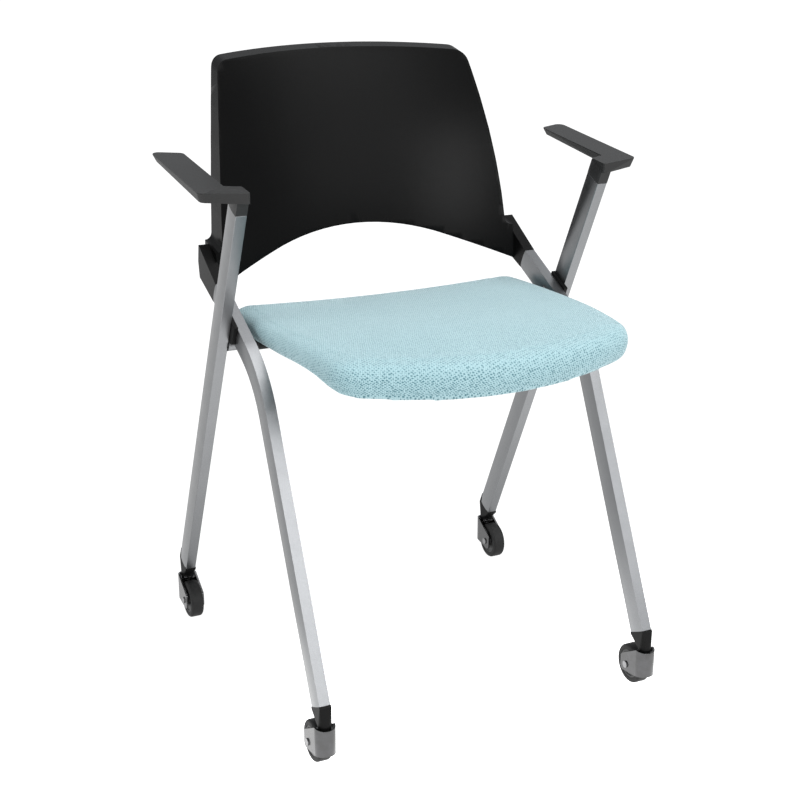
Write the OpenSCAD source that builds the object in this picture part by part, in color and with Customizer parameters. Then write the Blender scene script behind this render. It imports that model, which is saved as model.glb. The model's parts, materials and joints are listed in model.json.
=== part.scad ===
// Nesting chair: two crossed leg frames a side, a flip-up seat and swivel casters.
// +Z up, +Y to the rear, +X to the sitter's left. The floor is z = 0 and the
// origin is the middle of the chair's outline on the floor. All sizes in millimetres.

/* [Leg tubes] */
// Width of the tube's flat front and back faces
tube_w = 14.1; // [12:0.1:16]
// Depth of the tube, front face to back face
tube_d = 28; // [24:0.5:32]
// How far each side of the tube bulges past its edges
tube_bulge = 1; // [0.6:0.1:1.4]
// Wall of the tube
tube_wall = 1.8; // [1.4:0.1:2.2]
// Gap between the seat's side and each front leg
seat_gap = 6.3; // [4:0.1:16]
// Gap between the flats of a front leg and its rear leg
leg_gap = 5.9; // [5:0.1:8]

/* [Front legs] */
// Lower end of the front leg's middle line, behind the origin
front_foot_y = -225.6; // [-230:0.2:-221]
// Height of the lower end of both legs' middle lines
foot_z = 78; // [76:0.2:82]
// Angle of the lower leg above the floor
front_angle = 64; // [62:0.5:66]
// Length of the straight lower leg
front_lower_len = 349.5; // [342:0.5:356]
// Radius of the bend, on the middle line
bend_r = 141; // [130:1:150]
// Angle of the bend
bend_angle = 38.5; // [37:0.5:40]
// Length of the straight tube from the bend to the back
front_upper_len = 114; // [110:0.5:122]

/* [Rear legs] */
// Lower end of the rear leg's middle line, behind the origin
rear_foot_y = 231.8; // [228:0.2:236]
// Forward lean of the rear leg from upright
rear_lean = 26.05; // [25:0.1:27]
// Length of the rear leg up to the armrest
rear_len = 627; // [610:1:645]

/* [Seat hinge] */
// Hinge axis behind the origin
hinge_y = 38.2; // [34:0.1:42]
// Height of the hinge axis
hinge_z = 456; // [452:0.5:459]
// Diameter of the cross tube
cross_dia = 20; // [18:0.5:22]
// Wall of the cross tube
cross_wall = 2; // [1.5:0.1:3]
// Outer diameter of the hinge knuckles
knuckle_dia = 26; // [24:0.2:28]
// Length of each knuckle
knuckle_len = 48; // [44:1:52]
// Distance from a front leg to its knuckle
knuckle_in = 16; // [12:0.5:20]
// Wall of the plastic hinge bushes
bush_wall = 1.2; // [1:0.1:1.5]
// Length of each bush
bush_len = 13; // [10:0.5:15]
// How far the seat flips up
seat_travel = 80; // [60:1:85]
// Diameter of the stop pins in the cross tube
stop_dia = 6; // [4:0.5:7]

/* [Seat] */
// Widest half-width of the cushion
seat_half_w = 211; // [205:0.5:213]
// Seat's front edge, in front of the origin
seat_front = 263.8; // [256:0.2:270]
// Seat's rear edge, behind the origin
seat_rear = 115.2; // [110:0.2:119]
// Radius of the seat's front edge in plan
seat_front_r = 443; // [400:1:480]
// Radius of the seat's sides in plan
seat_side_r = 2300; // [1800:20:2600]
// Radius of the seat's front corners
seat_corner_r = 43.2; // [38:0.2:48]
// Radius of the seat's rear corners
seat_rear_r = 30; // [26:0.5:34]
// Backward slope of the seat
seat_tilt = 2.6; // [1.5:0.05:3.5]
// Thickness of the cushion at its edge
cushion_edge = 31.6; // [28:0.2:35]
// Rise of the cushion's crown above its edge
cushion_crown = 4; // [3:0.5:7]
// Height of the cushion's lower edge above the hinge axis
cushion_low = 0.3; // [0:0.1:3]
// Fall of the cushion at its front edge
front_fall = 14.6; // [12:0.2:18]
// Length of the falling front part
front_fall_len = 180; // [150:5:200]
// Extra depth of the cushion's front apron
front_drop = 15.6; // [12:0.2:18]
// Hollow of the cushion's rear edge at the middle
rear_dish = 8.8; // [5:0.2:11]
// Draw-in of the cushion's lower edge
cushion_tuck = 9; // [7:0.5:10]
// Depth of the moulded pan under the cushion
pan_depth = 16; // [15:0.5:18]
// Wall of the pan
pan_wall = 2.5; // [2:0.1:3]

/* [Backrest] */
// Distance from the frame's middle back to where the face meets the front legs
back_side_y = 117.6; // [112:0.2:124]
// Radius of the back's face at its most forward height
back_r = 491; // [485:1:500]
// Height of the most forward part of the face
back_waist_z = 467; // [460:1:475]
// How far the top edge lies behind the most forward part
back_lean = 70; // [60:0.5:80]
// Height of the back's top edge at the middle
back_top_z = 792.2; // [785:0.2:805]
// Radius of the top edge
back_top_r = 1940; // [1600:20:2400]
// Radius of the top corners
back_corner_r = 18; // [12:1:24]
// Height of the arch under the back at the middle
arch_z = 561.4; // [556:0.2:566]
// Radius of the arch
arch_r = 360; // [340:2:380]
// Half-width of the arch's round part
arch_half_w = 130; // [120:1:140]
// How far the face's sides lie inside the middles of the front legs
back_side_in = 28.4; // [24:0.2:34]
// Thickness of the face
back_wall = 4; // [3:0.2:5]
// Thickness of the rim
rim_wall = 3.6; // [3:0.2:5]
// Depth of the rim low on the back
rim_low = 44.5; // [40:0.5:48]
// Depth of the rim at the top edge
rim_top = 19.7; // [16:0.1:24]
// Length of the plug that holds the back in each front leg
back_plug_len = 45; // [30:1:55]

/* [Armrests] */
// Width of the arm pad
pad_w = 37.8; // [32:0.2:44]
// How far the pad reaches outside of the middle of its leg
pad_reach = 50.4; // [44:0.2:54]
// Front end of the pad behind the origin
pad_front_y = -71.1; // [-76:0.1:-66]
// Rear end of the pad behind the origin
pad_rear_y = 136.2; // [126:0.2:144]
// Height of the pad's top face over the origin
pad_top_z = 670.8; // [665:0.2:676]
// Rise of the pad towards the rear
pad_tilt = 5.94; // [4:0.1:8]
// Thickness of the pad in front
pad_thick = 12.4; // [11:0.2:15]
// Draft of the pad's sides, from its top to its underside
pad_draft = 3.2; // [2:0.1:5]
// Thickness of the pad at the rear
pad_thin = 8; // [7:0.2:10]

/* [Casters] */
// Wheel diameter
wheel_dia = 52; // [50:0.5:54]
// Tyre width
tyre_w = 18; // [16:0.5:18.5]
// Distance from a stem to its wheel's axle
trail = 22; // [20:0.5:24]
// Front stems in front of the origin
front_stem = 235.8; // [234:0.1:238]
// Rear stems behind the origin
rear_stem = 238.2; // [236:0.1:240]
// Outer width of the fork
fork_w = 26.5; // [26:0.1:28]
// Thickness of the fork's steel band
fork_wall = 2.4; // [2:0.1:2.5]
// Stem diameter
stem_dia = 8; // [7:0.5:9]
// Axle diameter
axle_dia = 6; // [5:0.5:7]

/* [Fits] */
// Radial clearance of a running fit
run_fit = 0.05; // [0.02:0.01:0.09]
// Gap between moving faces
face_gap = 0.4; // [0.3:0.05:0.6]
// Gap around a plug in a tube
plug_gap = 0.1; // [0.05:0.05:0.2]

/* [Hidden] */
$fn = 64;
left = 1;
right = -1;

// Overrun of every cut, and of a straight tube into its bend
over = 1;

// How much thicker the bend's wall is than the straight tube's, each way
bend_mark = 0.1;

// Tube section and leg positions
side_r = (tube_d * tube_d / 4 + tube_bulge * tube_bulge) / (2 * tube_bulge);
tube_half = tube_w / 2 + tube_bulge;
front_x = seat_half_w + seat_gap + tube_half;
rear_x = front_x + tube_w + leg_gap;
upper_angle = front_angle - bend_angle;
rear_angle = 90 + rear_lean;
front_foot = [front_foot_y, foot_z];
knee_start = front_foot + front_lower_len * aim(front_angle);
bend_centre = knee_start + bend_r * aim(front_angle - 90);
knee_end = bend_centre + bend_r * aim(upper_angle + 90);
back_entry = knee_end + front_upper_len * aim(upper_angle);
rear_foot = [rear_foot_y, foot_z];
arm_entry = rear_foot + rear_len * aim(rear_angle);

// Spacer between the legs where they cross
spacer_lead = 11.5;
edge_gap = 0.2;
spacer_lift = 3.5;
spacer_drop = 3;

// Foot sockets
socket_r = 8.5;
socket_low = 54.2;
socket_lip = 0.5;
socket_lip_len = 3;
socket_plug_len = 26;
heel_rise = 14;
heel_t = 0.8;

// Fasteners
screw_r = 2.5;
screw_head_r = 4.6;
screw_head_t = 2.6;
screw_socket_r = 1.6;
screw_socket_t = 1.4;
small_screw_r = 2;
small_head_r = 3.8;

// Hinge
cross_r = cross_dia / 2;
knuckle_r = knuckle_dia / 2;
bush_r = cross_r + run_fit + bush_wall;
leg_inner_x = front_x - tube_half;
knuckle_x1 = leg_inner_x - bush_wall - knuckle_in;
knuckle_x0 = knuckle_x1 - knuckle_len;
stop_x = (knuckle_x0 + knuckle_x1) / 2;
stop_angle = -100;
stop_reach = knuckle_r - face_gap;
stop_slot_r = stop_dia / 2 + face_gap / 2;
flange_t = 4;
flange_low = 1;
flange_reach = 34;
flange_out = 17.8;
flange_w = 37;
flange_x0 = knuckle_x0 - flange_out;
flange_x1 = flange_x0 + flange_w;
flange_screw_y = 26;
flange_screw_in = 8;
boss_r = 5.5;

// Seat
skin_t = 3;
pan_inset = 14;
pan_front = 206.8;
pan_gap = 0.3;
pan_top = pan_depth - 1.5;
pan_low = pan_top - pan_depth;
pan_rib_x_shares = [-0.5, -0.25, 0, 0.25, 0.5];
pan_rib_y_shares = [-0.69, -0.42, 0.5];
pan_rib_t = 2.2;
dish_len = 126;
apron_len = 130;
apron_power = 1.3;
skirt_gap = 0.8;
channel_r = cross_r + 2;
hinge_clear = knuckle_r + face_gap;

// Backrest
side_ref_z = 680;
back_side_x = front_x - back_side_in;
back_axis = sqrt(back_r * back_r - front_x * front_x) - back_side_y;
back_turn = asin((front_x + 2 * tube_w) / back_r);
rear_waist_rise = 60;
rear_waist_z = back_waist_z + rear_waist_rise;
rear_lean_in = back_lean + rim_top - rim_low;
back_profile_r = sagitta_r(back_top_z - back_waist_z, back_lean);
rear_profile_r = sagitta_r(back_top_z - rear_waist_z, rear_lean_in);
side_slope = 0.1275;
side_curve_r = 1655;
rim_rise = 12;
ear_w = tube_w + 0.8;
ear_rear_y = 155.2;
ear_top_rise = 7;
ear_low_drop = 5;
ear_bulge = 4;
ear_join = 0.8;
ear_fillet = 9;

// Arm pads
pad_outer_x = rear_x + pad_reach;
tab_len = 31;
notch_skew = 7.6;
front_skew = 16.7;
rear_skew = 14.8;
arm_neck_len = 20;
arm_plug_len = 40;
tab_x = rear_x - tube_w / 2 - 2 * edge_gap;
pad_skin = 1.2;
pad_corner_r = 8;
pad_small_r = 3;

// Casters
fork_half = fork_w / 2;
fork_in = fork_half - fork_wall;
fork_arm = 34;
fork_top = 57;
socket_disc = fork_top + face_gap - socket_low;
fork_nose_low = 28;
fork_nose_top = 54;
fork_tail_top = 37;
fork_tail_low = 14.5;
fork_tail_r = 6;
plate_z = 50.5;
plate_t = 2.5;
plate_tail = 6.5;
stem_top = 74;
stem_head_r = 5.5;
stem_head_t = 2.2;
stem_collar_r = 7;
wheel_r = wheel_dia / 2;
tyre_t = 7;
tyre_round = 3.4;
hub_side = 0.6;
rivet_r = 4.6;
rivet_t = 1.6;

// Radius of a circle that leaves its tangent by a depth after a length
function sagitta_r(length, depth) = (length * length + depth * depth) / (2 * depth);

// A direction in the side view, from +Y towards +Z
function aim(a) = [cos(a), sin(a)];

function unit(v) = v / norm(v);

// Points of the round that replaces corner b between a and c
function corner(a, b, c, r, n) =
    r == 0 ? [b] :
    let (
        u = unit(a - b),
        v = unit(c - b),
        half = acos(u * v) / 2,
        centre = b + unit(u + v) * r / sin(half),
        start = b + u * r / tan(half) - centre,
        finish = b + v * r / tan(half) - centre,
        a0 = atan2(start.y, start.x),
        turn = (atan2(finish.y, finish.x) - a0 + 540) % 360 - 180
    )
    [for (i = [0 : n]) centre + r * aim(a0 + turn * i / n)];

// A polygon with a radius at each corner
function rounded(points, radii, n = 6) =
    let (m = len(points))
    [for (i = [0 : m - 1])
        each corner(points[(i + m - 1) % m], points[i], points[(i + 1) % m], radii[i], n)];

// Centre of a circle of radius r that touches two larger circles from inside
function nested_centre(c1, r1, c2, r2, r) =
    let (
        d = norm(c2 - c1),
        a = ((r1 - r) * (r1 - r) - (r2 - r) * (r2 - r) + d * d) / (2 * d),
        h = sqrt((r1 - r) * (r1 - r) - a * a),
        u = unit(c2 - c1)
    )
    c1 + a * u + h * [-u.y, u.x];

function arc_points(c, r, a0, a1, n) = [for (i = [0 : n]) c + r * aim(a0 + (a1 - a0) * i / n)];

// Tube section: width along x, depth along y, flat front and back, bulging sides
module tube_section(inset) {
    intersection() {
        translate([tube_half - side_r, 0]) circle(r = side_r - inset, $fn = 240);
        translate([side_r - tube_half, 0]) circle(r = side_r - inset, $fn = 240);
        square([2 * tube_half, tube_d - 2 * inset], center = true);
    }
}

module tube_ring(grow) {
    difference() {
        tube_section(-grow);
        tube_section(tube_wall + grow);
    }
}

// Stands a shape that is built along +Z at a side-view point, pointing at an angle
module stand(point, angle) {
    translate([0, point.x, point.y]) rotate([angle - 90, 0, 0]) children();
}

// Extrudes a side-view outline of y and z across the chair
module across(x0, x1) {
    translate([x0, 0, 0]) rotate([90, 0, 90]) linear_extrude(x1 - x0) children();
}

// A cylinder across the chair about the hinge axis
module hinge_rod(r, x0, x1) {
    translate([x0, hinge_y, hinge_z]) rotate([0, 90, 0]) cylinder(r = r, h = x1 - x0);
}

// Sweeps a section along the front leg: children 0 on the straights, 1 round the bend
module front_leg_path() {
    stand(front_foot, front_angle) linear_extrude(front_lower_len + bend_mark) children(0);
    translate([0, bend_centre.x, bend_centre.y])
        rotate([90, 0, 90])
        rotate([0, 0, upper_angle + 90])
        rotate_extrude(angle = bend_angle, $fn = 180)
        translate([bend_r, 0]) rotate(90) children(1);
    stand(knee_end - bend_mark * aim(upper_angle), upper_angle)
        linear_extrude(front_upper_len + bend_mark) children(0);
}

module rear_leg_path() {
    stand(rear_foot, rear_angle) linear_extrude(rear_len) children();
}

// A screw hole or shank square to a leg, on its lower or rear face
module leg_screw_place(point, angle, along) {
    stand(point + along * aim(angle), angle - 90) translate([0, 0, tube_d / 2]) children();
}

module screw(r, head_r, reach) {
    translate([0, 0, -reach]) cylinder(r = r, h = reach);
    difference() {
        cylinder(r = head_r, h = screw_head_t);
        translate([0, 0, screw_head_t - screw_socket_t]) cylinder(r = screw_socket_r, h = over + screw_socket_t, $fn = 6);
    }
}

module back_screw_places() {
    for (share = [0.28, 0.72])
        leg_screw_place(back_entry, upper_angle, -back_plug_len * share) children();
}

module arm_screw_place() {
    leg_screw_place(arm_entry, rear_angle, -arm_plug_len / 2) children();
}

module front_leg(side) {
    color("silver")
    translate([side * front_x, 0, 0])
    difference() {
        front_leg_path() {
            tube_ring(0);
            tube_ring(bend_mark);
        }
        hinge_rod(cross_r, -tube_d, tube_d);
        back_screw_places() translate([0, 0, -2 * tube_wall]) cylinder(r = small_screw_r, h = 3 * tube_wall);
        translate([-side * tube_half, crossing.x, crossing.y]) spacer_screw_cut(side);
    }
}

module rear_leg(side) {
    color("silver")
    translate([side * rear_x, 0, 0])
    difference() {
        rear_leg_path() tube_ring(0);
        arm_screw_place() translate([0, 0, -2 * tube_wall]) cylinder(r = small_screw_r, h = 3 * tube_wall);
        translate([-side * tube_half, crossing.x, crossing.y]) rotate([0, side * 90, 0])
            translate([0, 0, -over]) cylinder(r = screw_r, h = 2 * over + tube_wall);
    }
}

// Where the middle lines of the two legs cross in the side view
cross_share = ((rear_foot.x - knee_end.x) * sin(rear_angle) - (rear_foot.y - knee_end.y) * cos(rear_angle))
    / (cos(upper_angle) * sin(rear_angle) - sin(upper_angle) * cos(rear_angle));
crossing = knee_end + cross_share * aim(upper_angle);

// Screw from inside the front leg through the spacer into the rear leg's wall
module spacer_screw_cut(side) {
    rotate([0, side * 90, 0]) translate([0, 0, -over]) cylinder(r = screw_r, h = 2 * tube_half + 2 * over);
}

module leg_spacer(side) {
    x0 = front_x + tube_w / 2 + edge_gap;
    x1 = rear_x - tube_w / 2 - edge_gap;
    half = tube_d / 2;
    up = aim(upper_angle + 90);
    ahead = aim(rear_angle + 90);
    top = crossing + (half + spacer_lift) * up;
    lead = crossing + half * ahead - [spacer_lead, 0];
    rear = crossing - half * ahead;
    low_z = hinge_z + spacer_drop;
    color([0.09, 0.09, 0.09])
    mirror([side == left ? 0 : 1, 0, 0])
    difference() {
        across(x0, x1) polygon([
            meet(top, upper_angle, lead, rear_angle),
            meet(top, upper_angle, rear, rear_angle),
            meet([0, low_z], 0, rear, rear_angle),
            meet([0, low_z], 0, lead, rear_angle)]);
        translate([front_x, 0, 0]) front_leg_path() {
            tube_section(0);
            tube_section(-bend_mark);
        }
        translate([rear_x, 0, 0]) rear_leg_path() tube_section(0);
        hinge_rod(cross_r, front_x, rear_x);
        translate([x0, crossing.x, crossing.y]) spacer_screw_cut(left);
    }
}

// Crossing of two side-view lines, each a point and an angle
function meet(p, a, q, b) =
    let (t = ((q.x - p.x) * sin(b) - (q.y - p.y) * cos(b)) / (cos(a) * sin(b) - sin(a) * cos(b)))
    p + t * aim(a);

module spacer_screws() {
    color([0.6, 0.6, 0.62])
    for (side = [left, right])
        mirror([side == left ? 0 : 1, 0, 0])
        translate([front_x - tube_half, crossing.x, crossing.y])
        rotate([0, -90, 0])
        screw(screw_r, screw_head_r, rear_x - front_x + tube_wall);
}

module cross_tube() {
    reach = rear_x - tube_w / 2 - edge_gap;
    color([0.75, 0.76, 0.78])
    difference() {
        hinge_rod(cross_r, -reach, reach);
        hinge_rod(cross_r - cross_wall, -reach - over, reach + over);
        for (side = [left, right]) {
            translate([side * rear_x, 0, 0]) rear_leg_path() tube_section(0);
            stop_pin_place(side) cylinder(r = stop_dia / 2, h = cross_r + over);
        }
    }
}

module stop_pin_place(side) {
    translate([side * stop_x, hinge_y, hinge_z]) rotate([stop_angle - 90, 0, 0]) children();
}

// Round pins across the cross tube's wall that end the seat's travel
module stop_pins() {
    color([0.6, 0.6, 0.62])
    for (side = [left, right])
        stop_pin_place(side)
        translate([0, 0, cross_r - cross_wall]) cylinder(r = stop_dia / 2, h = stop_reach - cross_r + cross_wall);
}

// Black end piece that plugs a leg and holds a caster stem
module foot_socket(foot, angle, stem_y, x) {
    heel = foot + tube_d / 2 * aim(angle - 90);
    heel_top = heel + heel_rise * aim(angle);
    color([0.09, 0.09, 0.09])
    translate([x, 0, 0])
    difference() {
        union() {
            hull() {
                stand(foot, angle) translate([0, 0, -socket_lip_len / 2])
                    cube([tube_w + 2 * socket_lip, tube_d + 2 * socket_lip, socket_lip_len], center = true);
                translate([0, stem_y, socket_low + socket_disc]) cylinder(r = socket_r, h = heel_t, $fn = 32);
                if (stem_y > 0)
                    translate([-tube_w / 2, heel_top.x - heel_t, heel_top.y]) cube([tube_w, 2 * heel_t, heel_t]);
            }
            translate([0, stem_y, socket_low]) cylinder(r = socket_r - edge_gap, h = socket_disc + heel_t);
            stand(foot, angle) linear_extrude(socket_plug_len) tube_section(tube_wall + plug_gap);
        }
        stand(foot, angle)
            linear_extrude(rear_len)
            difference() {
                tube_section(0);
                tube_section(tube_wall + plug_gap);
            }
        translate([0, stem_y, socket_low - over])
            cylinder(r = stem_dia / 2 + run_fit, h = stem_top - socket_low + 2 * over);
    }
}

module foot_socket_front(side) {
    foot_socket(front_foot, front_angle, -front_stem, side * front_x);
}

module foot_socket_rear(side) {
    foot_socket(rear_foot, rear_angle, rear_stem, side * rear_x);
}

// Radius of the back's face about its upright axis, at height z
function face_r(z) =
    back_r + back_profile_r - sqrt(back_profile_r * back_profile_r - (z - back_waist_z) * (z - back_waist_z));

// Where the face lies behind the origin
function face_y(x, z) = sqrt(face_r(z) * face_r(z) - x * x) - back_axis;

function side_x(z) =
    back_side_x - side_slope * (z - side_ref_z) - (z - side_ref_z) * (z - side_ref_z) / (2 * side_curve_r);

function top_z(x) = back_top_z - x * x / (2 * back_top_r);

arch_slope = arch_half_w / sqrt(arch_r * arch_r - arch_half_w * arch_half_w);

function arch_edge_z(x) =
    let (a = min(abs(x), arch_half_w))
    arch_z - arch_r + sqrt(arch_r * arch_r - a * a) - arch_slope * max(abs(x) - arch_half_w, 0);

// A point of the face's outline, carried into the plane that the rim is square to
rim_ref_y = face_y(0, back_top_z);
function in_rim_plane(p) =
    [p.x, (p.y - back_top_z) * cos(rim_rise) - (face_y(p.x, p.y) - rim_ref_y) * sin(rim_rise)];

// Half of the outline of the back's face, from the middle of the arch to the top's middle
ear_x = front_x - ear_w / 2 + ear_join;
ear_low_z = arch_edge_z(ear_x);
ear_high_z = meet(back_entry + tube_d / 2 * aim(upper_angle + 90), upper_angle, [ear_rear_y, 0], 90).y;

function face_half(inset, with_ear) =
    let (
        low_x = with_ear ? ear_x : side_x(ear_high_z) - inset,
        corner_z = top_z(side_x(back_top_z)) - inset,
        arch = [for (i = [0 : 8]) let (x = arch_half_w * i / 8) [x, arch_edge_z(x) + inset]],
        low = with_ear
            ? [[low_x, arch_edge_z(low_x)], [low_x, ear_high_z]]
            : [[low_x, arch_edge_z(low_x) + inset]],
        rise = back_top_z - ear_high_z,
        sides = [for (share = [0, 0.18, 0.36, 0.54, 0.72, 0.86])
            let (z = ear_high_z + rise * share) [side_x(z) - inset, z]],
        top = [for (share = [1, 0.8, 0.6, 0.4, 0.2])
            let (x = (side_x(corner_z) - inset) * share) [x, top_z(x) - inset]]
    )
    concat(arch, low, sides, top);

function face_radii(inset, with_ear) =
    concat([for (i = [0 : 8]) 0], with_ear ? [0, 0, ear_fillet] : [0, 0],
        [0, 0, 0, 0, 0], [back_corner_r - inset], [0, 0, 0, 0]);

function mirrored(points) = [for (i = [len(points) - 1 : -1 : 1]) [-points[i].x, points[i].y]];

function face_outline(inset, with_ear) =
    let (
        half = face_half(inset, with_ear),
        radii = face_radii(inset, with_ear),
        tail = [for (i = [len(half) - 1 : -1 : 1]) radii[i]]
    )
    rounded(concat(half, [[0, back_top_z - inset]], mirrored(half)), concat(radii, [0], tail));

// The face's outline swept along the rim's direction
module rim_prism(inset, with_ear) {
    depth = 2 * rim_low;
    translate([0, rim_ref_y, back_top_z])
        rotate([rim_rise, 0, 0])
        translate([0, depth, 0])
        rotate([90, 0, 0])
        linear_extrude(3 * depth)
        polygon([for (p = face_outline(inset, with_ear)) in_rim_plane(p)]);
}

// The body between two revolved surfaces: the face, pushed in by a depth, and the rim's rear
module back_revolved(depth, extra) {
    span = back_top_z - ear_low_z;
    translate([0, -back_axis, 0])
        rotate([0, 0, 90 - back_turn])
        rotate_extrude(angle = 2 * back_turn, $fn = 180)
        intersection() {
            difference() {
                translate([back_r + back_profile_r, back_waist_z]) circle(r = back_profile_r - depth, $fn = 360);
                translate([back_r + rim_low + rear_profile_r + extra, rear_waist_z]) circle(r = rear_profile_r, $fn = 360);
            }
            translate([back_r / 2, ear_low_z - span / 2]) square([back_r, 2 * span]);
        }
}

// Side outline of the ears, from the end of the front legs back into the shell
module ear_outline() {
    up = aim(upper_angle + 90);
    top = back_entry + tube_d / 2 * up;
    low = back_entry - tube_d / 2 * up;
    polygon([low, top,
        meet(top, upper_angle, [ear_rear_y, 0], 90) + [0, ear_top_rise],
        [ear_rear_y + ear_bulge, back_entry.y + tube_d],
        meet(low, upper_angle, [ear_rear_y, 0], 90) - [0, ear_low_drop]]);
}

// Moulded back: a saddle-shaped face, a deep rim and two ears that plug into the front legs
module backrest_shell() {
    color([0.1, 0.1, 0.1])
    difference() {
        union() {
            difference() {
                intersection() {
                    rim_prism(0, true);
                    back_revolved(0, 0);
                }
                intersection() {
                    rim_prism(rim_wall, false);
                    back_revolved(back_wall, rim_low);
                }
            }
            for (side = [left, right]) {
                across(side * front_x - ear_w / 2, side * front_x + ear_w / 2) ear_outline();
                translate([side * front_x, 0, 0])
                    stand(back_entry, upper_angle)
                    translate([0, 0, -back_plug_len])
                    linear_extrude(back_plug_len + over) tube_section(tube_wall + plug_gap);
            }
        }
        for (side = [left, right])
            translate([side * front_x, 0, 0])
            back_screw_places() translate([0, 0, -tube_d / 2]) cylinder(r = small_screw_r, h = tube_d);
    }
}

module back_screws() {
    color([0.6, 0.6, 0.62])
    for (side = [left, right])
        translate([side * front_x, 0, 0]) back_screw_places() screw(small_screw_r, small_head_r, tube_d / 2);
}

// Plan of the arm pad's blade and of its tab over the leg, drawn in by an inset
function blade_outline(inset) = rounded([
    [pad_outer_x - inset, pad_rear_y - inset],
    [pad_outer_x - pad_w + inset, pad_rear_y - rear_skew - inset],
    [pad_outer_x - pad_w + inset, pad_front_y + front_skew * pad_w / (pad_outer_x - tab_x)],
    [pad_outer_x - inset, pad_front_y + front_skew + inset]],
    [pad_corner_r, pad_corner_r, pad_small_r, pad_corner_r]);

function tab_outline(inset) = rounded([
    [pad_outer_x - inset, pad_front_y + front_skew + inset],
    [pad_outer_x - inset, pad_front_y + tab_len + notch_skew],
    [pad_outer_x - pad_w + inset, pad_front_y + tab_len + notch_skew - inset],
    [tab_x, pad_front_y + tab_len],
    [tab_x, pad_front_y]],
    [pad_corner_r, pad_small_r, pad_small_r, pad_small_r, pad_small_r]);

// Rise of the pad's top for each millimetre towards the rear
pad_slope = tan(pad_tilt);

// Skews a plan so that it lies a depth under the pad's top, deeper in front
module pad_layer(depth_front, depth_rear) {
    rise = pad_slope + (depth_front - depth_rear) / (pad_rear_y - pad_front_y);
    lift = pad_top_z - depth_front - (rise - pad_slope) * pad_front_y;
    multmatrix([[1, 0, 0, 0], [0, 1, 0, 0], [0, rise, 1, lift]])
        translate([0, 0, -pad_skin]) linear_extrude(pad_skin) children();
}

// Arm pad with a tab over the rear leg, and a neck and plug that go into it
module arm_pad(side) {
    color([0.12, 0.12, 0.12])
    mirror([side == left ? 0 : 1, 0, 0])
    difference() {
        union() {
            hull() {
                pad_layer(0, 0) polygon(blade_outline(0));
                pad_layer(pad_thick - pad_skin, pad_thin - pad_skin) polygon(blade_outline(pad_draft));
            }
            hull() {
                pad_layer(0, 0) polygon(tab_outline(0));
                pad_layer(pad_thick - pad_skin, pad_thin - pad_skin) polygon(tab_outline(pad_draft));
            }
            translate([rear_x, 0, 0]) stand(arm_entry, rear_angle) {
                linear_extrude(arm_neck_len) tube_section(0);
                translate([0, 0, -arm_plug_len])
                    linear_extrude(arm_plug_len + over) tube_section(tube_wall + plug_gap);
            }
        }
        translate([rear_x, 0, 0]) arm_screw_place()
            translate([0, 0, -tube_d / 2]) cylinder(r = small_screw_r, h = tube_d);
    }
}

module arm_screws() {
    color([0.6, 0.6, 0.62])
    for (side = [left, right])
        translate([side * rear_x, 0, 0]) arm_screw_place() screw(small_screw_r, small_head_r, tube_d / 2);
}

// Seat plan, from the middle of the front edge round the left side to the rear's middle
side_centre = [seat_half_w - seat_side_r, hinge_y];
front_centre = [0, seat_front_r - seat_front];
corner_centre = nested_centre(front_centre, seat_front_r, side_centre, seat_side_r, seat_corner_r);
rear_corner_y = seat_rear - seat_rear_r;
rear_corner_x = side_centre.x + sqrt((seat_side_r - seat_rear_r) * (seat_side_r - seat_rear_r)
    - (rear_corner_y - side_centre.y) * (rear_corner_y - side_centre.y));
front_turn = atan2(corner_centre.y - front_centre.y, corner_centre.x - front_centre.x);
side_turn = atan2(corner_centre.y - side_centre.y, corner_centre.x - side_centre.x);
rear_turn = atan2(rear_corner_y - side_centre.y, rear_corner_x - side_centre.x);

function seat_half(inset) = concat(
    arc_points(front_centre, seat_front_r - inset, -90, front_turn, 6),
    arc_points(corner_centre, seat_corner_r - inset, front_turn, side_turn, 6),
    arc_points(side_centre, seat_side_r - inset, side_turn, rear_turn, 19),
    arc_points([rear_corner_x, rear_corner_y], seat_rear_r - inset, rear_turn, 90, 5),
    [for (share = [0.6, 0.3]) [rear_corner_x * share, seat_rear - inset]]);

// Repeated points where two arcs meet are left out
function thinned(points) =
    [for (i = [0 : len(points) - 1]) if (i == 0 || norm(points[i] - points[i - 1]) > over / 10) points[i]];

function seat_outline(inset) =
    let (half = thinned(seat_half(inset)))
    concat(half, [[0, seat_rear - inset]], mirrored(half));

// The pan's plan: the seat's, cut off straight before the falling front
function pan_outline(inset) =
    [for (p = seat_outline(inset)) [p.x, max(p.y, -pan_front + inset - pan_inset)]];

// The seat's own frame: its origin on the hinge axis, sloped with the seat
module seat_frame() {
    translate([0, hinge_y, hinge_z]) rotate([-seat_tilt, 0, 0]) children();
}

// Fall of the cushion towards its front edge
function fall(y) = front_fall * pow(max(0, (front_fall_len - seat_front - y) / front_fall_len), 2);

// Extra drop of the lower edge at the front apron
function apron(y) =
    front_drop * pow(max(0, (apron_len - seat_front - y) / apron_len), apron_power);

// Hollow of the top towards the middle of the rear edge
function dish(p) =
    rear_dish * (1 - pow(p.x / seat_half_w, 2)) * pow(max(0, (p.y - seat_rear + dish_len) / dish_len), 2);

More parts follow.
